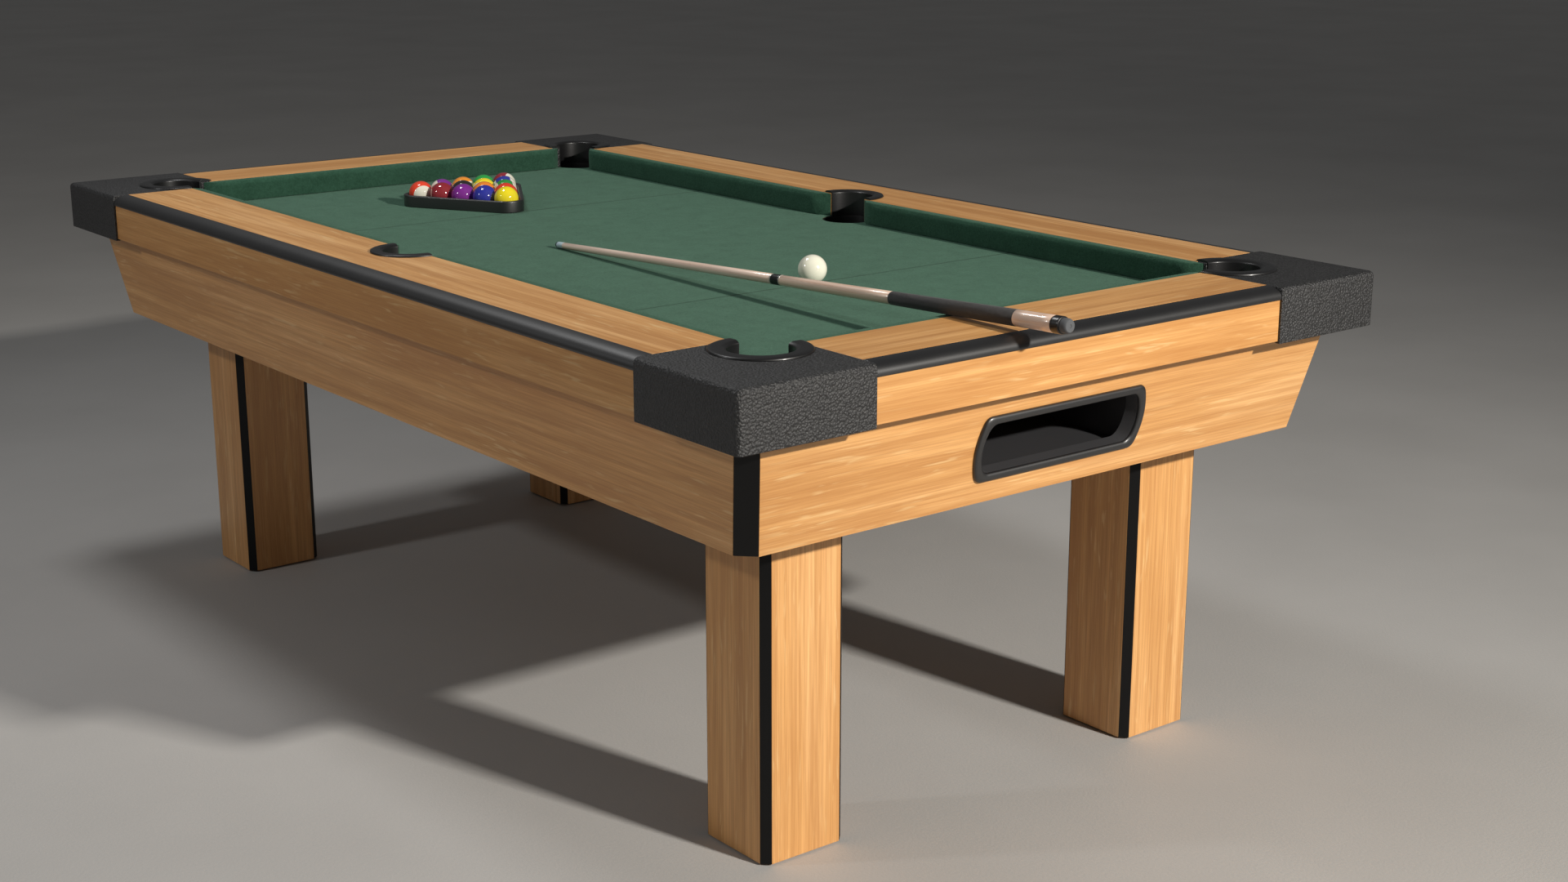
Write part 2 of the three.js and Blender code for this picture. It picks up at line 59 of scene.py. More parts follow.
# An inset is measured inwards from the outer face of the rails.
GAP = 0.0003
POCKET_INSET = 0.170
POCKET_RADIUS, LINER_RADIUS = 0.0494, 0.052
CORNER_RIM, SIDE_RIM = 0.077, 0.0725
CUSHION_INSET, NOSE_INSET = 0.1718, 0.193
CASTING_SIDE = 0.242
PANEL_TOP_INSET, PANEL_BOTTOM_INSET = 0.0398, 0.0869

# Where a cushion's nose and heel end, from the middle pocket and from the table's corner.
SIDE_NOSE, SIDE_HEEL = 0.082, 0.053
CORNER_NOSE, CORNER_HEEL = 0.249, 0.228

# The ball return's mouth: its top, half its height and width, its bowed ends and round corners.
MOUTH_TOP, MOUTH_UP, MOUTH_HALF = 0.693, 0.0555, 0.169
MOUTH_BULGE, MOUTH_ROUND = 0.013, 0.011

BALL_RADIUS = 0.0254
BALL_PITCH = 0.0511
RACK_CLEARANCE, RACK_WALL = 0.002, 0.009

# How far the cloth's two thin painted shadow lines lie from its middle, and the steps round a full
# circle.
SEAM_SHADOW_OFFSET = 0.489
ROUND_STEPS = 72

# Where each corner and side lies and its turn in degrees, then a side's length.
CORNERS = {
    "front_left": (LEFT, FRONT, 0),
    "front_right": (RIGHT, FRONT, 90),
    "back_right": (RIGHT, BACK, 180),
    "back_left": (LEFT, BACK, 270),
}
SIDES = {
    "front": (0, FRONT, 0, RIGHT - LEFT),
    "right": (RIGHT, MIDDLE_Y, 90, BACK - FRONT),
    "back": (0, BACK, 180, RIGHT - LEFT),
    "left": (LEFT, MIDDLE_Y, 270, BACK - FRONT),
}


def placed(x, y, turn):
    """The frame of a side or a corner: Y runs inwards from the outer face."""
    return Matrix.Translation((x, y, 0)) @ Matrix.Rotation(math.radians(turn), 4, "Z")


# ---------------------------------------------------------------- node helpers


def linear(hex_colour):
    """A #RRGGBB colour as Blender's linear RGBA."""
    channels = [int(hex_colour[i : i + 2], 16) / 255 for i in (1, 3, 5)]
    return [c / 12.92 if c <= 0.04045 else ((c + 0.055) / 1.055) ** 2.4 for c in channels] + [1]


class Paint:
    """One procedural material: its node tree and short ways to add to it."""

    def __init__(self, name, **shader_values):
        self.material = bpy.data.materials.new(name)
        self.material.use_nodes = True
        self.tree = self.material.node_tree
        self.shader = self.tree.nodes["Principled BSDF"]
        for socket, value in shader_values.items():
            self.shader.inputs[socket.replace("_", " ")].default_value = value

    def add(self, kind, inputs=None, **settings):
        node = self.tree.nodes.new(kind)
        for key, value in settings.items():
            setattr(node, key, value)
        for socket, value in (inputs or {}).items():
            self.set(node.inputs[socket], value)
        return node

    def set(self, socket, value):
        if isinstance(value, bpy.types.NodeSocket):
            self.tree.links.new(value, socket)
        else:
            socket.default_value = value

    def place(self, scale=(1, 1, 1), offset=(0, 0, 0)):
        """The piece's own coordinates in metres, scaled and shifted."""
        source = self.add("ShaderNodeTexCoord").outputs["Object"]
        inputs = {"Vector": source, "Scale": scale, "Location": offset}
        return self.add("ShaderNodeMapping", inputs).outputs["Vector"]

    def noise(self, vector, scale, detail=4, roughness=0.5, distortion=0.0):
        inputs = {
            "Vector": vector,
            "Scale": scale,
            "Detail": detail,
            "Roughness": roughness,
            "Distortion": distortion,
        }
        return self.add("ShaderNodeTexNoise", inputs).outputs["Fac"]

    def cells(self, vector, scale):
        inputs = {"Vector": vector, "Scale": scale}
        return self.add("ShaderNodeTexVoronoi", inputs).outputs["Distance"]

    def ramp(self, value, *stops):
        """Colours or greys at places along a value."""
        node = self.add("ShaderNodeValToRGB", {"Fac": value})
        elements = node.color_ramp.elements
        while len(elements) < len(stops):
            elements.new(1)
        for element, (place, colour) in zip(elements, stops):
            element.position = place
            element.color = linear(colour) if isinstance(colour, str) else [colour] * 3 + [1]
        return node.outputs["Color"]

    def math(self, operation, a, b=0.0):
        return self.add("ShaderNodeMath", {0: a, 1: b}, operation=operation).outputs[0]

    def vector(self, operation, inputs):
        return self.add("ShaderNodeVectorMath", inputs, operation=operation).outputs[0]

    def mix(self, factor, a, b):
        node = self.add("ShaderNodeMix", data_type="RGBA")
        colours = [s for s in node.inputs if s.type == "RGBA"]
        self.set(node.inputs[0], factor)
        self.set(colours[0], linear(a) if isinstance(a, str) else a)
        self.set(colours[1], linear(b) if isinstance(b, str) else b)
        return next(s for s in node.outputs if s.type == "RGBA")

    def range(self, value, low, high):
        inputs = {"Value": value, "To Min": low, "To Max": high}
        return self.add("ShaderNodeMapRange", inputs).outputs["Result"]

    def axis(self, which):
        source = self.add("ShaderNodeTexCoord").outputs["Object"]
        return self.add("ShaderNodeSeparateXYZ", {"Vector": source}).outputs[which]

    def colour(self, value):
        shade = linear(value) if isinstance(value, str) else value
        self.set(self.shader.inputs["Base Color"], shade)

    def roughness(self, value):
        self.set(self.shader.inputs["Roughness"], value)

    def bump(self, *heights):
        """Bumps from (height, depth in metres) pairs, each laid over the one before."""
        normal = None
        for height, depth in heights:
            node = self.add("ShaderNodeBump", {"Height": height, "Distance": depth})
            if normal:
                self.set(node.inputs["Normal"], normal)
            normal = node.outputs["Normal"]
        self.set(self.shader.inputs["Normal"], normal)


# ---------------------------------------------------------------- materials


def wood(name, along):
    """Straight-grained beech laminate. along is the axis that the grain follows."""
    light, middle, dark, pale = "#F1BC7D", "#E6AE6C", "#CC9355", "#F7D79E"
    paint = Paint(name, Coat_Weight=0.2, Coat_Roughness=0.3)

    def stretched(across, lengthwise):
        return paint.place([lengthwise if axis == along else across for axis in "XYZ"])

    bands = paint.noise(stretched(9, 0.9), 1.0, 3, 0.5, 0.8)
    lines = paint.noise(stretched(75, 1.3), 1.0, 6, 0.62, 0.15)
    hair = paint.noise(stretched(420, 7), 1.0, 3, 0.6)
    flecks = paint.noise(stretched(170, 14), 1.0, 1, 0.5, 0.6)
    patches = paint.noise(stretched(14, 5), 1.0, 2, 0.5)
    base = paint.ramp(bands, (0.34, dark), (0.48, middle), (0.64, light))
    lined = paint.mix(paint.ramp(lines, (0.4, 0.85), (0.6, 0.0)), base, dark)
    haired = paint.mix(paint.ramp(hair, (0.4, 0.3), (0.62, 0.0)), lined, "#A9672F")
    strong = paint.ramp(patches, (0.42, 0.2), (0.62, 1.0))
    fleck = paint.math("MULTIPLY", paint.ramp(flecks, (0.6, 0.0), (0.72, 0.42)), strong)
    paint.colour(paint.mix(fleck, haired, pale))
    paint.roughness(paint.range(lines, 0.36, 0.52))
    paint.bump((lines, 0.0002), (hair, 0.0001))
    return paint.material


def raw_board(name, base, spots):
    """Bare fibreboard or sawn timber, for what is hidden inside."""
    paint = Paint(name)
    grain = paint.noise(paint.place((60, 8, 60)), 4.0, 6, 0.6)
    paint.colour(paint.ramp(grain, (0.3, spots), (0.65, base)))
    paint.roughness(paint.range(grain, 0.75, 0.92))
    paint.bump((grain, 0.0004))
    return paint.material


def pebbled_plastic(name):
    """Black moulded plastic with a leather grain, painted shade darkening the hollows between its
    pebbles, its roughness uneven where hands have rubbed it.
    """
    paint = Paint(name, Specular_IOR_Level=0.9)
    place = paint.place()
    drift = paint.add("ShaderNodeTexNoise", {"Vector": place, "Scale": 95.0, "Detail": 3.0})
    bend = paint.vector("SCALE", {0: drift.outputs["Color"], "Scale": 0.0045})
    bent = paint.vector("ADD", {0: place, 1: bend})
    pebbles = paint.cells(bent, 250)
    fine = paint.noise(place, 620, 4, 0.6)
    wear = paint.noise(place, 7, 4, 0.6)
    height = paint.math("SUBTRACT", paint.math("MULTIPLY", fine, 0.35), pebbles)
    # Painted shade: the colour follows the grain's height, so its hollows are painted darker and
    # its raised pebbles paler.
    paint.colour(paint.ramp(paint.math("ADD", height, 0.6), (0.1, "#080809"), (0.6, "#262628")))
    paint.roughness(paint.range(wear, 0.5, 0.6))
    paint.bump((height, 0.0019), (fine, 0.0002))
    return paint.material


def smooth_plastic(name, base, low, high, coat=0.0, specular=0.5):
    """A smooth moulding with faint unevenness, dust and fine scratches.

    Its roughness runs from low to high.
    """
    paint = Paint(name, Coat_Weight=coat, Coat_Roughness=0.14, Specular_IOR_Level=specular)
    place = paint.place()
    cloud = paint.noise(place, 12, 5, 0.6)
    scratches = paint.noise(paint.place((35, 900, 35)), 1.0, 3, 0.6)
    dust = paint.ramp(paint.noise(place, 260, 4, 0.7), (0.64, 0.0), (0.9, 0.16))
    paint.colour(paint.mix(dust, base, "#55565A"))
    uneven = paint.math("ADD", cloud, paint.math("MULTIPLY", scratches, 0.3))
    paint.roughness(paint.range(uneven, low, high))
    paint.bump((paint.noise(place, 700, 3), 0.00006), (scratches, 0.00004))
    return paint.material


def felt(name, light, dark, lines=()):
    """Napped wool cloth: soft mottling, crossed threads and fuzz, with thin painted shadow lines
    where given.
    """
    paint = Paint(name, Sheen_Weight=0.18, Sheen_Roughness=0.5, Specular_IOR_Level=0.15)
    paint.shader.inputs["Sheen Tint"].default_value = linear("#9CC2AC")
    place = paint.place()
    mottle = paint.noise(place, 26, 4, 0.6, 0.3)
    nap = paint.noise(place, 210, 4, 0.62, 0.4)
    fibre = paint.noise(paint.place((1, 2.4, 1)), 1500, 3, 0.6)
    threads = [
        paint.math("SINE", paint.math("MULTIPLY", paint.axis(which), 4200.0)) for which in "XY"
    ]
    weave = paint.math("MULTIPLY", *threads)
    broad, close = paint.math("MULTIPLY", mottle, 0.35), paint.math("MULTIPLY", nap, 0.65)
    shade = paint.math("ADD", broad, close)
    colour = paint.ramp(shade, (0.36, dark), (0.62, light))
    # Painted shadow: a thin dark line across the cloth at each given Y.
    for y in lines:
        off = paint.math("ABSOLUTE", paint.math("SUBTRACT", paint.axis("Y"), y))
        wobble = paint.math("MULTIPLY", paint.noise(place, 90, 2), 0.0006)
        across = paint.math("MULTIPLY", paint.math("ADD", off, wobble), 100.0)
        on_seam_shadow = paint.ramp(across, (0.2, 0.85), (0.38, 0.0))
        colour = paint.mix(on_seam_shadow, colour, "#1E3329")
    paint.colour(colour)
    paint.roughness(paint.range(nap, 0.86, 1.0))
    paint.bump((mottle, 0.0009), (nap, 0.0007), (fibre, 0.0003), (weave, 0.00005))
    return paint.material


def plated_steel(name):
    paint = Paint(name, Metallic=1.0)
    turned = paint.noise(paint.place((1, 1, 14)), 160, 4, 0.6)
    paint.colour(paint.ramp(turned, (0.3, "#8C8E90"), (0.7, "#B4B5B6")))
    paint.roughness(paint.range(turned, 0.28, 0.46))
    paint.bump((turned, 0.0001))
    return paint.material


def resin(name, base, striped=False):
    """A polished ball. A striped one keeps its colour in a band round its local Z."""
    paint = Paint(name, Coat_Weight=0.3, Coat_Roughness=0.03)
    place = paint.place()
    cloud = paint.noise(place, 55, 4, 0.55)
    chalk = paint.ramp(paint.noise(place, 240, 5, 0.7, 0.6), (0.68, 0.0), (0.8, 0.1))
    toned = paint.mix(paint.range(cloud, 0.0, 0.06), base, "#F4F0E4")
    if striped:
        height = paint.math("ABSOLUTE", paint.axis("Z"))
        pole = paint.ramp(paint.math("MULTIPLY", height, 1 / BALL_RADIUS), (0.6, 0.0), (0.62, 1.0))
        toned = paint.mix(pole, toned, "#E9E6D6")
    paint.colour(paint.mix(chalk, toned, "#C9CDD2"))
    paint.roughness(paint.range(cloud, 0.05, 0.12))
    paint.bump((cloud, 0.00003))
    return paint.material


def cue_wood(name, light, dark, along_scale=5):
    """Lacquered maple, its grain along the cue's own Z. A higher along_scale shortens the grain."""
    paint = Paint(name, Coat_Weight=0.7, Coat_Roughness=0.08)
    streaks = paint.noise(paint.place((260, 260, along_scale)), 1.0, 5, 0.6, 0.4)
    flecks = paint.noise(paint.place((900, 900, 60)), 1.0, 2, 0.5)
    colour = paint.ramp(streaks, (0.32, dark), (0.64, light))
    paint.colour(paint.mix(paint.ramp(flecks, (0.62, 0.0), (0.76, 0.22)), colour, "#B98A70"))
    paint.roughness(paint.range(streaks, 0.22, 0.36))
    paint.bump((streaks, 0.00005))
    return paint.material


def linen_wrap(name):
    """Black linen thread wound round the butt, flecked with a paler fibre."""
    paint = Paint(name, Sheen_Weight=0.2, Sheen_Roughness=0.5)
    place = paint.place()
    threads = paint.math("SINE", paint.math("MULTIPLY", paint.axis("Z"), 5200.0))
    fleck = paint.noise(paint.place((700, 700, 2600)), 1.0, 3, 0.7)
    paint.colour(paint.ramp(fleck, (0.46, "#1C1B1C"), (0.78, "#6A6868")))
    paint.roughness(paint.range(paint.noise(place, 300), 0.6, 0.85))
    paint.bump((paint.noise(place, 420, 4, 0.7), 0.0004), (threads, 0.00015))
    return paint.material


def leather_tip(name):
    paint = Paint(name)
    grain = paint.noise(paint.place(), 900, 4, 0.65)
    paint.colour(paint.ramp(grain, (0.35, "#1F2430"), (0.7, "#3A4250")))
    paint.roughness(paint.range(grain, 0.75, 0.95))
    paint.bump((grain, 0.0003))
    return paint.material


def pale_floor(name):
    paint = Paint(name)
    place = paint.place()
    cloud = paint.noise(place, 1.3, 5, 0.55)
    grit = paint.noise(place, 180, 4, 0.6)
    paint.colour(paint.ramp(cloud, (0.3, "#B9B7B4"), (0.7, "#C2C0BD")))
    paint.roughness(paint.range(grit, 0.55, 0.75))
    paint.bump((grit, 0.0004))
    return paint.material


WOOD_X = wood("wood_grain_x", "X")
WOOD_Y = wood("wood_grain_y", "Y")
WOOD_Z = wood("wood_grain_z", "Z")
BOARD = raw_board("bed_board", "#9B7E5E", "#6F583F")
TIMBER = raw_board("sawn_timber", "#C39C69", "#9B7747")
PEBBLED = pebbled_plastic("pebbled_black")
SATIN = smooth_plastic("satin_black", "#0B0B0D", 0.4, 0.5, coat=0.25, specular=1.0)
TRIM = smooth_plastic("trim_black", "#060607", 0.45, 0.6, specular=0.3)
LINER = smooth_plastic("liner_black", "#181718", 0.34, 0.5)
TRAY = smooth_plastic("tray_black", "#3C3C3E", 0.3, 0.42)
RIM = smooth_plastic("rim_black", "#151516", 0.3, 0.44, coat=0.15)
# Where the bed felt gets its two painted shadow lines.
SEAM_SHADOWS = (MIDDLE_Y - SEAM_SHADOW_OFFSET, MIDDLE_Y + SEAM_SHADOW_OFFSET)
CLOTH = felt("bed_felt", "#446655", "#345143", SEAM_SHADOWS)
# The bed's felt in darker colours: painted shade for the cushions' faces.
SHADED_CUSHION_FELT = felt("cushion_felt_painted_shade", "#355847", "#284838")
STEEL = plated_steel("plated_steel")
IVORY = resin("cue_ball_ivory", "#F3F1DE")


# ---------------------------------------------------------------- mesh helpers


def piece(name, vertices, faces, material, body="table", slot=None, angle=35):
    """A new smooth-shaded mesh, sharp only where its faces meet at more than the angle."""
    mesh = bpy.data.meshes.new(name)
    mesh.from_pydata([tuple(v) for v in vertices], [], faces)
    mesh.validate()
    shape = bmesh.new()
    shape.from_mesh(mesh)
    bmesh.ops.remove_doubles(shape, verts=shape.verts, dist=1e-7)
    bmesh.ops.recalc_face_normals(shape, faces=shape.faces)
    shape.to_mesh(mesh)
    shape.free()
    mesh.shade_smooth()
    mesh.set_sharp_from_angle(angle=math.radians(angle))
    made = bpy.data.objects.new(name, mesh)
    bpy.context.scene.collection.objects.link(made)
    mesh.materials.append(material)
    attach(made, body)
    return made


def bevel(obj, width, segments, angle, harden=False):
    """Softens the edges that are sharper than the angle in degrees."""
    modifier = obj.modifiers.new("edges", "BEVEL")
    modifier.width = width
    modifier.segments = segments
    modifier.limit_method = "ANGLE"
    modifier.angle_limit = math.radians(angle)
    modifier.harden_normals = harden


def dress(node, material, width, segments=2, angle=30):
    """Keeps a CAD node, with a material and softened edges."""
    shown = nodes[node]
    shown.data.materials.clear()
    shown.data.materials.append(material)
    custom = shown.data.attributes.get("custom_normal")
    if custom:
        shown.data.attributes.remove(custom)
    shown.data.shade_smooth()
    weld = shown.modifiers.new("weld", "WELD")
    weld.merge_threshold = 1e-5
    flat = shown.modifiers.new("flat", "DECIMATE")
    flat.decimate_type = "DISSOLVE"
    flat.angle_limit = math.radians(0.5)
    bevel(shown, width, segments, angle, harden=True)


def skin(stations, closed=False):
    """Vertices and faces of a section carried through its stations, capped unless they close up."""
    rows, around = len(stations), len(stations[0])
    vertices = [point for station in stations for point in station]
    faces = []
    for row in range(rows if closed else rows - 1):
        here, after = row * around, (row + 1) % rows * around
        for i in range(around):
            j = (i + 1) % around
            faces.append((here + i, here + j, after + j, after + i))
    if not closed:
        faces.append(tuple(reversed(range(around))))
        faces.append(tuple(range(len(vertices) - around, len(vertices))))
    return vertices, faces


def swept(name, stations, material, closed=False, **options):
    return piece(name, *skin(stations, closed), material, **options)


def lathe(name, profile, material, matrix, body, slot):
    """A solid turned about local Z. The profile is (radius, height) pairs from axis to axis."""
    vertices, rings = [], []
    for radius, height in profile:
        count = ROUND_STEPS if radius > 0 else 1
        rings.append((len(vertices), count))
        for i in range(count):
            turn = 2 * math.pi * i / ROUND_STEPS
            vertices.append((radius * math.cos(turn), radius * math.sin(turn), height))
    faces = []
    for (a, na), (b, nb) in zip(rings, rings[1:]):
        for i in range(ROUND_STEPS):
            j = (i + 1) % ROUND_STEPS
            corners = [a + i % na, a + j % na, b + j % nb, b + i % nb]
            unique = list(dict.fromkeys(corners))
            if len(unique) > 2:
                faces.append(unique)
    made = piece(name, vertices, faces, material, body, slot)
    made.matrix_world = matrix
    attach(made, body)
    return made


def bend(start, corner, end, steps):
    """Places along a curve that leaves the start and reaches the end, drawn towards the corner."""
    shares = [step / steps for step in range(steps + 1)]
    return [(1 - t) ** 2 * start + 2 * t * (1 - t) * corner + t * t * end for t in shares]


def rounded(points, radius, steps=5):
    """A closed outline with each of its corners rounded. A radius may be given per point."""
    result = []
    count = len(points)
    for i, point in enumerate(points):
        here = Vector(point)
        size = radius[i] if isinstance(radius, list) else radius
        if size <= 0:
            result.append(tuple(here))
            continue
        before = (Vector(points[i - 1]) - here).normalized()
        after = (Vector(points[(i + 1) % count]) - here).normalized()
        curve = bend(here + before * size, here, here + after * size, steps)
        result += [tuple(place) for place in curve]
    return result


# ---------------------------------------------------------------- table: carried-over nodes


def dress_table():
    for side in SIDES:
        long_side = side in ("left", "right")
        grain = WOOD_Y if long_side else WOOD_X
        dress(("side_rail_" if long_side else "end_rail_") + side, grain, 0.0007)
        dress("cabinet_panel_" + side, grain, 0.0009)
    for corner in CORNERS:
        dress("corner_casting_" + corner, PEBBLED, 0.0028, 3, angle=40)
        dress("cabinet_corner_" + corner, TRIM, 0.0008)
        dress("leg_" + corner, WOOD_Z, 0.0006)
        dress("leg_trim_" + corner, TRIM, 0.0006)
        dress("leg_leveller_" + corner, STEEL, 0.0007)
    for beam in ("front", "mid_front", "mid_back", "back"):
        dress("bed_beam_" + beam, TIMBER, 0.001)
    dress("bed_slab", BOARD, 0.0008)
    dress("ball_return_tray", TRAY, 0.0003)
    for side in ("left", "right"):
        dress("ball_gully_" + side, LINER, 0.0006)


# ---------------------------------------------------------------- bed cloth

# How wide the cloth's roll into a pocket is, and how far its edge drops.
ROLL_WIDTH, ROLL_DROP = 0.006, 0.0009


def pocket_centres():
    xs = (LEFT + POCKET_INSET, RIGHT - POCKET_INSET)
    ys = (FRONT + POCKET_INSET, MIDDLE_Y, BACK - POCKET_INSET)
    return [Vector((x, y)) for x in xs for y in ys]


def cloth_grid(low, width, length, hole, centres):
    """Places over the whole sheet, clear of its holes."""
    spacing, clear = 0.022, 0.012
    across, along = round(width / spacing), round(length / spacing)
    places = []
    for i in range(across + 1):
        for j in range(along + 1):
            place = Vector((low.x + width * i / across, low.y + length * j / along))
            if all((place - centre).length > hole + clear for centre in centres):
                places.append(place)
    return places


def cloth_triangles(grid, hole, centres):
    """A flat mesh through the grid and through rings around each hole."""
    points, loops = list(grid), []
    for centre in centres:
        for reach in (0, 0.0015, 0.003, ROLL_WIDTH):
            start = len(points)
            for i in range(ROUND_STEPS):
                turn = 2 * math.pi * i / ROUND_STEPS
                points.append(centre + Vector((math.cos(turn), math.sin(turn))) * (hole + reach))
                loops.append((start + i, start + (i + 1) % ROUND_STEPS))
    flat, _, triangles, *_ = delaunay_2d_cdt(points, loops, [], 0, 1e-6)
    kept = []
    for triangle in triangles:
        middle = sum((flat[i] for i in triangle), Vector((0, 0))) / len(triangle)
        if all((middle - centre).length > hole * 0.998 for centre in centres):
            kept.append(tuple(triangle))
    return flat, kept


def add_cloth():
    """One stretched sheet over the slab. Its edge rolls over into each pocket."""
    low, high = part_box("bed_cloth")
    width, length = high.x - low.x, high.y - low.y
    hole = LINER_RADIUS + GAP
    centres = pocket_centres()
    flat, triangles = cloth_triangles(cloth_grid(low, width, length, hole, centres), hole, centres)
    vertices = []
    for place in flat:
        edge = min((place - centre).length for centre in centres) - hole
        drop = ROLL_DROP * max(0.0, 1 - edge / ROLL_WIDTH) ** 2
        vertices.append((place.x, place.y, high.z - drop))
    cloth = piece("stretched_bed_cloth", vertices, triangles, CLOTH, slot="cloth")
    if cloth.data.polygons[0].normal.z < 0:
        cloth.data.flip_normals()
    thick = cloth.modifiers.new("thickness", "SOLIDIFY")
    thick.thickness = 0.0005
    thick.offset = -1
    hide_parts("bed_cloth")


# ---------------------------------------------------------------- cushions


# The cloth draws the nose in at each end, over this reach, and leaves slight waves along it.
END_PULL, END_REACH = 0.0022, 0.004
WAVE_DEPTH, WAVES = 0.00025, 9


def cushion_outline(low_z, high_z):
    """A section of (inset, z) points: a rounded top edge over a slightly hollow face."""
    back, nose = CUSHION_INSET, NOSE_INSET
    section = [
        (back, low_z),
        (nose - 0.0035, low_z),
        (nose - 0.0022, low_z + 0.012),
        (nose - 0.0008, low_z + 0.026),
        (nose, high_z - 0.009),
        (nose - 0.0035, high_z - 0.0012),
        (back + 0.010, high_z),
        (back, high_z - 0.0006),
    ]
    return rounded(section, [0.0006, 0.0015, 0.004, 0.004, 0.0035, 0.0025, 0.003, 0.0006], 4)


def add_cushion(node, side, nose_ends, heel_ends):
    """A rubber nose under tight cloth, its ends mitred from the heel to the nose."""
    base = placed(*SIDES[side][:3])
    low_z, high_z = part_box(node)[0].z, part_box(node)[1].z
    outline = cushion_outline(low_z, high_z)
    steps = 60
    stations = []
    for step in range(steps + 1):
        share = step / steps
        from_end = min(share, 1 - share) * (nose_ends[1] - nose_ends[0])
        pull = END_PULL * math.exp(-from_end / END_REACH)
        station = []
        for inset, z in outline:
            depth = (inset - CUSHION_INSET) / (NOSE_INSET - CUSHION_INSET)
            start = heel_ends[0] + (nose_ends[0] - heel_ends[0]) * depth
            end = heel_ends[1] + (nose_ends[1] - heel_ends[1]) * depth
            wave = WAVE_DEPTH * math.sin(share * math.pi * WAVES) * depth
            rise = (z - low_z) / (high_z - low_z)
            along = start + (end - start) * share
            place = Vector((along, inset - pull * depth + wave, z - pull * 0.5 * rise))
            station.append(base @ place)
        stations.append(station)
    made = swept(node + "_cloth_covered", stations, SHADED_CUSHION_FELT, slot="cushion_cloth", angle=50)
    bevel(made, 0.0022, 3, 50)
    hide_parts(node)


def add_cushions():
    for side, (_, _, _, length) in SIDES.items():
        nose, heel = length / 2 - CORNER_NOSE, length / 2 - CORNER_HEEL
        if side in ("front", "back"):
            add_cushion("cushion_" + side, side, (-nose, nose), (-heel, heel))
            continue
        low, high = ("front", "back") if side == "right" else ("back", "front")
        add_cushion(f"cushion_{side}_{low}", side, (-nose, -SIDE_NOSE), (-heel, -SIDE_HEEL))
        add_cushion(f"cushion_{side}_{high}", side, (SIDE_NOSE, nose), (SIDE_HEEL, heel))


# ---------------------------------------------------------------- edge bumpers


def add_bumper(side):
    """A half-round moulding with a fine lip above the apron."""
    x, y, turn, length = SIDES[side]
    base = placed(x, y, turn)
    node = "edge_bumper_" + side
    low_z, high_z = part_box(node)[0].z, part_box(node)[1].z
    outer, inner, flat = 0.001, 0.033, 0.003
    fullness = 0.92
    section = [(inner, low_z), (inner, high_z)]
    steps = 18
    for step in range(steps + 1):
        turn_by = math.pi / 2 * step / steps
        across = (inner - outer - flat) * math.sin(turn_by) ** fullness
        up = (high_z - low_z - flat) * math.cos(turn_by) ** fullness
        section.append((inner - flat - across, low_z + flat + up))
    section += [(outer, low_z + 0.0012), (outer + 0.001, low_z)]
    end = length / 2 - CASTING_SIDE - GAP
    stations = []
    for share in (-1, -0.5, 0, 0.5, 1):
        stations.append([base @ Vector((end * share, inset, z)) for inset, z in section])
    made = swept(node + "_moulding", stations, SATIN, slot="black_satin", angle=40)
    bevel(made, 0.0006, 2, 60)
    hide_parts(node)


# ---------------------------------------------------------------- pockets


def turned(centre, profile, start, end, base):
    """A section of (radius, z) points turned about an upright axis between two angles."""
    whole = end - start >= 360
    degrees_per_step = 3
    steps = round((end - start) / degrees_per_step)
    middle = Vector((*centre, 0))
    stations = []
    for step in range(steps if whole else steps + 1):
        turn = math.radians(start + (end - start) * step / steps)
        out = Vector((math.cos(turn), math.sin(turn), 0))
        places = [middle + out * radius + Vector((0, 0, z)) for radius, z in profile]
        stations.append([base @ place for place in places])
    return skin(stations, whole)


def add_pocket(node, base, centre, rim_radius, start, end):
    """A sleeve through the slab, a wall up to the rail, and a rounded rim lying on the rail.

    The wall and the rim run from start to end, in degrees.
    """
    low_z, high_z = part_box(node)[0].z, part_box(node)[1].z
    inner, outer = POCKET_RADIUS, LINER_RADIUS
    seat, joint = RAIL_TOP + GAP, BED_UNDER - 0.0004
    sleeve = [(inner, low_z), (outer, low_z), (outer, BED_UNDER), (inner, BED_UNDER)]
    sleeve = rounded(sleeve, 0.0006, 3)
    upper = [
        (inner, joint),
        (outer, joint),
        (outer, seat),
        (rim_radius, seat),
        (rim_radius - 0.0012, high_z - 0.0012),
        (rim_radius - 0.006, high_z),
        (inner + 0.006, high_z),
        (inner, high_z - 0.0035),
    ]
    upper = rounded(upper, [0, 0, 0.0002, 0.0008, 0.0012, 0.003, 0.003, 0.0018], 4)
    vertices, faces = turned(centre, sleeve, 0, 360, base)
    more, more_faces = turned(centre, upper, start, end, base)
    shift = len(vertices)
    faces += [tuple(i + shift for i in face) for face in more_faces]
    made = piece(node + "_moulded", vertices + more, faces, RIM, slot="liner", angle=42)
    bevel(made, 0.0011, 3, 60)
    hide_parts(node)


def add_pockets():
    for corner, spot in CORNERS.items():
        centre = (POCKET_INSET, POCKET_INSET)
        add_pocket("pocket_liner_" + corner, placed(*spot), centre, CORNER_RIM, 90.8, 359.2)
    for side in ("left", "right"):
        base, centre = placed(*SIDES[side][:3]), (0, POCKET_INSET)
        add_pocket("pocket_liner_middle_" + side, base, centre, SIDE_RIM, 179, 361)


# ---------------------------------------------------------------- ball return


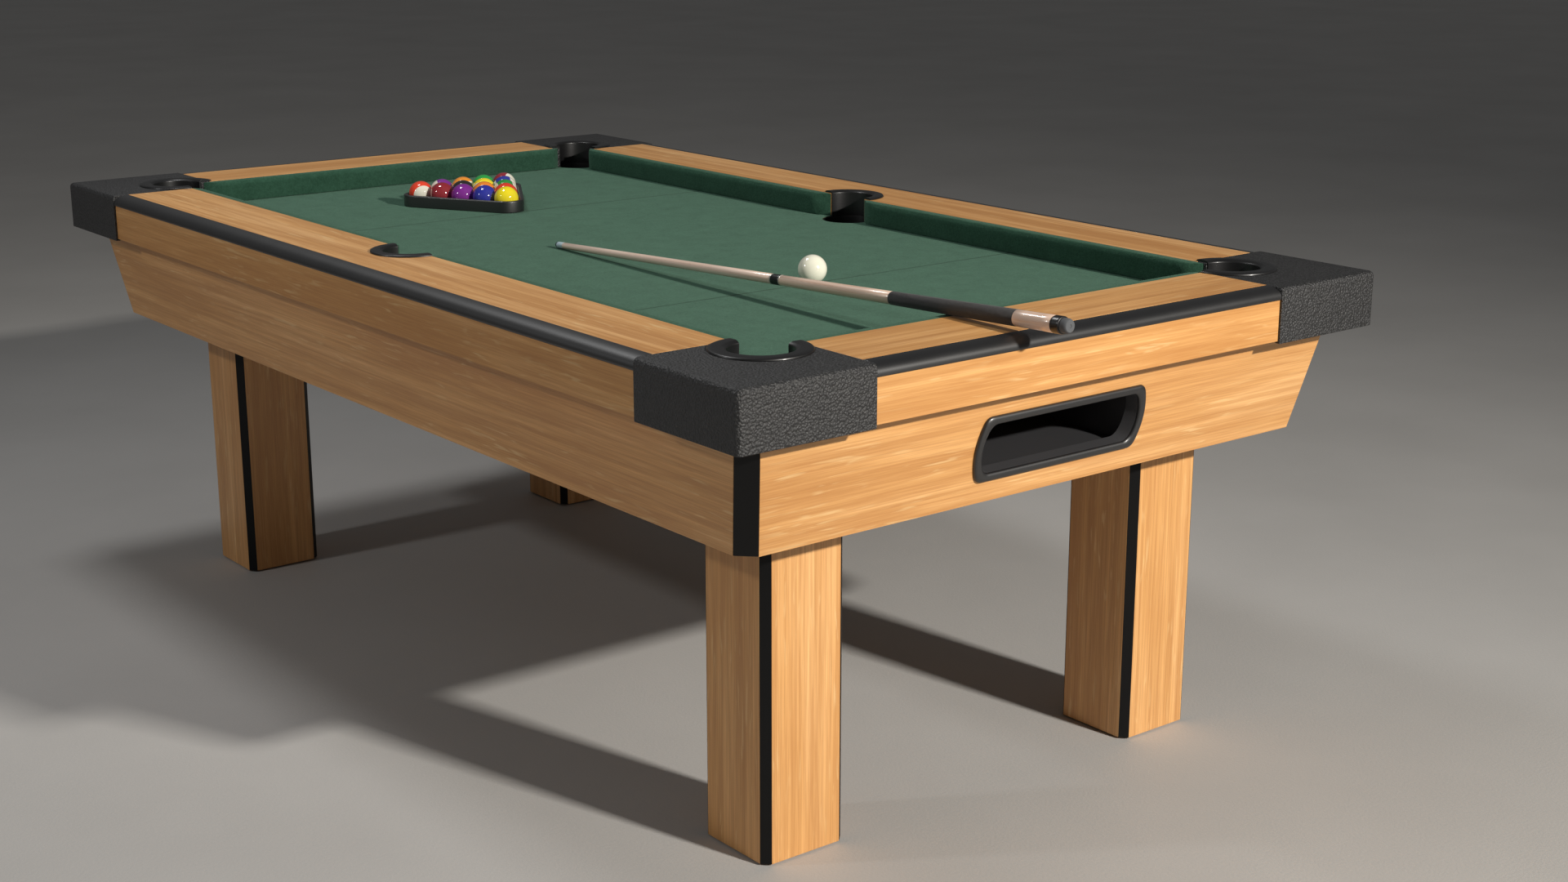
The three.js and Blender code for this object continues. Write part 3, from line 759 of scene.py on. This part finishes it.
def mouth_outline(margin, steps=8):
    """The mouth, widened by a margin: straight top and bottom, bowed ends, rounded corners."""
    half, up = MOUTH_HALF + margin, MOUTH_UP + margin
    bow = (up * up + MOUTH_BULGE * MOUTH_BULGE) / (2 * MOUTH_BULGE)
    centre = half + MOUTH_BULGE - bow
    angle = math.asin((up - MOUTH_ROUND) / bow)
    start, corner = Vector((half - MOUTH_ROUND, -up)), Vector((half, -up))
    end = Vector((centre + bow * math.cos(angle), MOUTH_ROUND - up))
    quarter = bend(start, corner, end, steps)
    for step in range(1, steps + 1):
        turn = angle * (step / steps - 1)
        quarter.append(Vector((centre + bow * math.cos(turn), bow * math.sin(turn))))
    right = quarter + [Vector((p.x, -p.y)) for p in reversed(quarter[:-1])]
    return right + [Vector((-p.x, -p.y)) for p in right]


def front_face():
    """The leaning front panel's frame, centred on the mouth: X across, Y up it, Z out of it."""
    low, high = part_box("cabinet_panel_front")
    lean = math.atan2(PANEL_BOTTOM_INSET - PANEL_TOP_INSET, high.z - low.z)
    height = MOUTH_TOP - MOUTH_UP * math.cos(lean)
    inset = PANEL_TOP_INSET + (high.z - height) * math.tan(lean)
    turn = Matrix.Rotation(math.pi / 2 + lean, 4, "X")
    return placed(*SIDES["front"][:3]) @ Matrix.Translation((0, inset, height)) @ turn


def mouth_ring(name, section, material, draft=0.0):
    """A section of (margin, height out of the panel) points carried round the mouth.

    Its two ends close in by the draft for each metre that the section runs back.
    """
    face = front_face()
    stations = []
    for margin, rise in section:
        shift = draft * max(0, -rise)
        outline = mouth_outline(margin)
        places = [Vector((p.x - math.copysign(shift, p.x), p.y, rise)) for p in outline]
        stations.append([face @ place for place in places])
    return swept(name, stations, material, closed=True, slot="black_satin", angle=50)


def add_bezel():
    """A tube-like frame round the opening, and a throat that runs back through the panel."""
    thick, proud, seat = 0.0069, 0.0060, 0.0008
    steps = 12
    tube = []
    for step in range(steps + 1):
        turn = math.pi * step / steps
        tube.append((thick * (math.cos(turn) - 1), seat + proud * math.sin(turn) ** 0.75))
    frame_piece = mouth_ring("ball_return_frame", tube, SATIN)
    inner, outer, depth = -0.0140, -0.0073, 0.0193
    throat = [(inner, seat - GAP), (inner, -depth), (outer, -depth), (outer, seat - GAP)]
    mouth_ring("ball_return_throat", throat, TRAY, draft=0.34)
    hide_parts("ball_return_bezel")


# ---------------------------------------------------------------- balls and rack

# Row by row from the apex, left to right. A striped ball also has the way its white cap faces.
BALLS = [
    ("yellow", "#F5E000", None),
    ("blue", "#10209A", None),
    ("vermilion", "#E0330C", None),
    ("purple", "#7A0A8C", None),
    ("orange", "#F08818", None),
    ("green_stripe", "#0E8A38", (0.9, -0.3, 0.1)),
    ("maroon", "#8C0420", None),
    ("black", "#0A0A0B", None),
    ("yellow_stripe", "#F2DC10", (0.8, 0.6, 0.1)),
    ("blue_stripe", "#12249C", (0.9, -0.5, 0.2)),
    ("red_stripe", "#E8380F", (-0.25, -0.95, -0.12)),
    ("purple_stripe", "#78108C", (-0.95, 0.3, 0.2)),
    ("orange_stripe", "#F09420", (-0.3, 0.95, 0.15)),
    ("green", "#12A040", None),
    ("maroon_stripe", "#900824", (0.5, -0.8, 0.3)),
]


def add_ball(name, material, centre, cap, body):
    bpy.ops.mesh.primitive_uv_sphere_add(segments=64, ring_count=40, radius=BALL_RADIUS)
    ball = bpy.context.object
    ball.name = name
    ball.data.shade_smooth()
    ball.data.materials.append(material)
    ball.rotation_euler = Vector(cap or (0, 0, 1)).to_track_quat("Z", "Y").to_euler()
    ball.location = centre
    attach(ball, body)
    return ball


def racked_centres():
    low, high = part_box("racked_balls")
    apex = Vector(((low.x + high.x) / 2, low.y + BALL_RADIUS - 0.0005, (low.z + high.z) / 2))
    row_step = BALL_PITCH * math.cos(math.radians(30))
    for row in range(5):
        for place in range(row + 1):
            yield apex + Vector(((place - row / 2) * BALL_PITCH, row * row_step, 0))


def add_balls():
    low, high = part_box("cue_ball")
    white = add_ball("ivory_cue_ball", IVORY, (low + high) / 2, None, "cue_ball")
    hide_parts("cue_ball")
    for (name, colour, cap), centre in zip(BALLS, racked_centres()):
        material = resin("resin_" + name, colour, cap is not None)
        ball = add_ball("ball_" + name, material, centre, cap, "ball_set")
    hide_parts("racked_balls")


def triangle_outline(distance, centre, steps=14):
    """A triangle at a distance outside the outer balls' centres, its corners round."""
    side = 4 * BALL_PITCH
    tall = side * math.cos(math.radians(30))
    apexes = [(0, 0), (side / 2, tall), (-side / 2, tall)]
    points = []
    for i, apex in enumerate(apexes):
        for step in range(steps + 1):
            turn = math.radians(-150 + 120 * i + 120 * step / steps)
            out = Vector((math.cos(turn), math.sin(turn)))
            points.append(centre + Vector(apex) + out * distance)
    return points


def add_rack():
    """A moulded triangle: thicker at its rounded top edge, with a rolled foot."""
    low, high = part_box("rack_triangle")
    inside = BALL_RADIUS + RACK_CLEARANCE
    outside = inside + RACK_WALL
    centre = Vector(((low.x + high.x) / 2, low.y + outside))
    tall = high.z - low.z
    corners = [(outside, 0), (outside, tall), (inside, tall), (inside + 0.0005, 0)]
    stations = []
    for distance, z in rounded(corners, [0.0016, 0.0028, 0.0028, 0.001]):
        outline = triangle_outline(distance, centre)
        stations.append([Vector((p.x, p.y, low.z + z)) for p in outline])
    made = swept("moulded_rack", stations, SATIN, True, body="rack", slot="black_satin", angle=50)
    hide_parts("rack_triangle")


# ---------------------------------------------------------------- cue


# The cue's taper: a share of its length from the tip, and its radius there.
CUE_TAPER = [
    (0.0, 0.0059),
    (0.25, 0.0071),
    (0.479, 0.0088),
    (0.702, 0.0105),
    (0.909, 0.0126),
    (0.971, 0.0133),
    (0.987, 0.0131),
]

# Its turned parts: where each starts and ends, how proud of the taper, and how soft its rims.
CUE_PARTS = [
    ("cue_ferrule", 0.0047, 0.0187, "ferrule", 0.00005, 0.0004),
    ("cue_shaft_turned", 0.0187, 0.4905, "shaft", 0.0, 0.0004),
    ("cue_ring_front", 0.4905, 0.4925, "ring", 0.0002, 0.0004),
    ("cue_collar", 0.4925, 0.5082, "collar", 0.0001, 0.0004),
    ("cue_ring_back", 0.5082, 0.5100, "ring", 0.0002, 0.0004),
    ("cue_forearm", 0.5100, 0.7145, "butt", 0.0, 0.0004),
    ("cue_wrap", 0.7145, 0.9205, "wrap", 0.0002, 0.0008),
    ("cue_sleeve", 0.9205, 0.9780, "butt", 0.0, 0.0004),
    ("cue_cap", 0.9780, 0.9905, "collar", 0.0002, 0.0012),
]

# The domed tip: radius and distance along the cue.
CUE_TIP = [
    (0, 0),
    (0.0028, 0.0002),
    (0.0046, 0.0012),
    (0.0056, 0.0034),
    (0.0057, 0.0062),
    (0, 0.0062),
]

# The rubber bumper, hollowed at its end: radius, share of the length, and depth of the hollow.
CUE_BUMPER = [
    (0, 0.9905, 0),
    (0.0112, 0.9905, 0),
    (0.0114, 0.9920, 0),
    (0.0112, 0.9965, 0),
    (0.0100, 0.9992, 0),
    (0.0088, 1, 0),
    (0.0030, 1, 0),
    (0.0026, 1, 0.0008),
    (0, 1, 0.0008),
]


def end_centre(node, forwards):
    """The middle of a cue piece's end face, towards +Y if forwards."""
    places = [v.co for v in nodes[node].data.vertices]
    edge = (max if forwards else min)(p.y for p in places)
    near = [p for p in places if abs(p.y - edge) < 0.001]
    return sum(near, Vector()) / len(near)


def cue_materials():
    return {
        "tip": leather_tip("cue_tip_leather"),
        "ferrule": smooth_plastic("cue_ferrule_white", "#BFD3DC", 0.25, 0.35, coat=0.3),
        "shaft": cue_wood("cue_shaft_maple", "#FFE6D4", "#F6D2BB"),
        "ring": smooth_plastic("cue_ring_pale", "#B9B4AA", 0.15, 0.25, coat=0.5),
        "collar": smooth_plastic("cue_collar_black", "#0E0E10", 0.28, 0.4, coat=0.2),
        "butt": cue_wood("cue_butt_maple", "#FFE2CC", "#F3CBB1", 9),
        "wrap": linen_wrap("cue_linen"),
        "bumper": smooth_plastic("cue_bumper_rubber", "#55575A", 0.6, 0.75),
    }


def cue_radius(share):
    for (a, radius_a), (b, radius_b) in zip(CUE_TAPER, CUE_TAPER[1:]):
        if share <= b:
            return radius_a + (radius_b - radius_a) * (share - a) / (b - a)
    return CUE_TAPER[-1][1]


def cue_profile(start, finish, length, proud, soften):
    """The half section of a length of the cue, its rims softened, proud of the taper by so much."""
    a, b = start * length, finish * length
    ra, rb = cue_radius(start) + proud, cue_radius(finish) + proud
    slight = soften * 0.3
    profile = [(0, a), (ra - soften, a), (ra - slight, a + slight), (ra, a + soften)]
    for share in (0.25, 0.5, 0.75):
        profile.append((ra + (rb - ra) * share, a + (b - a) * share))
    return profile + [(rb, b - soften), (rb - slight, b - slight), (rb - soften, b), (0, b)]


def add_cue():
    """Tip, ferrule, shaft, collar, forearm, wrap, sleeve, cap and bumper, along one axis."""
    tip, end = end_centre("cue_shaft", True), end_centre("cue_bumper", False)
    length = (end - tip).length
    along = (end - tip).to_track_quat("Z", "Y").to_matrix().to_4x4()
    matrix = Matrix.Translation(tip) @ along
    materials = cue_materials()
    lathe("cue_tip", CUE_TIP, materials["tip"], matrix, "cue", "maple")
    for name, start, finish, material, proud, soften in CUE_PARTS:
        profile = cue_profile(start, finish, length, proud, soften)
        lathe(name, profile, materials[material], matrix, "cue", "maple")
    profile = [(radius, share * length - hollow) for radius, share, hollow in CUE_BUMPER]
    rubber = materials["bumper"]
    bumper = lathe("cue_rubber_bumper", profile, rubber, matrix, "cue", "grey_rubber")
    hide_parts("cue_shaft")
    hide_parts("cue_butt")
    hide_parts("cue_bumper")


# ---------------------------------------------------------------- floor, light and camera


def add_floor():
    bpy.ops.mesh.primitive_plane_add(size=40, location=(0, 0, -0.0002))
    floor = bpy.context.object
    floor.name = "floor"
    floor.data.materials.append(pale_floor("pale_floor"))


def add_area_light(name, place, target, size, power, colour="#FFFFFF", spread=180):
    """A rectangular lamp at a place, facing a target. Its light spreads over so many degrees."""
    data = bpy.data.lights.new(name, "AREA")
    data.spread = math.radians(spread)
    data.shape = "RECTANGLE"
    data.size, data.size_y = size
    data.energy = power
    data.color = linear(colour)[:3]
    lamp = bpy.data.objects.new(name, data)
    lamp.location = place
    lamp.rotation_euler = (Vector(target) - Vector(place)).to_track_quat("-Z", "Y").to_euler()
    bpy.context.scene.collection.objects.link(lamp)


def add_studio():
    """A key from the front right, a weaker lamp on the left, one overhead, and little fill."""
    bpy.context.scene.view_settings.view_transform = "Standard"
    world = bpy.data.worlds.new("studio")
    world.use_nodes = True
    fill = world.node_tree.nodes["Background"].inputs
    fill["Color"].default_value = linear("#E6E6E6")
    fill["Strength"].default_value = 0.11
    bpy.context.scene.world = world
    key_place, key_target = (1.1, -6.7, 3.55), (0, -1.0, 0.6)
    add_area_light("front_key", key_place, key_target, (0.45, 0.2), 102, "#FFFAF2", spread=80)
    add_area_light("left_side", (-3.6, 1.0, 2.7), (0, 0, 0.6), (0.25, 0.2), 20)
    add_area_light("top_soft", (-0.5, 1.2, 3.3), (0, 0, 0.7), (0.6, 0.6), 26)


def add_camera():
    data = bpy.data.cameras.new("camera")
    data.sensor_width = 36
    data.lens = 49.894
    camera = bpy.data.objects.new("camera", data)
    camera.location = (-2.3404, MIDDLE_Y - 3.3750, 1.5023)
    camera.rotation_euler = (math.radians(74.803), 0, math.radians(-38.4135))
    bpy.context.scene.collection.objects.link(camera)
    bpy.context.scene.camera = camera


dress_table()
add_cloth()
add_cushions()
for side in SIDES:
    add_bumper(side)
add_pockets()
add_bezel()
add_balls()
add_rack()
add_cue()
add_floor()
add_studio()
add_camera()
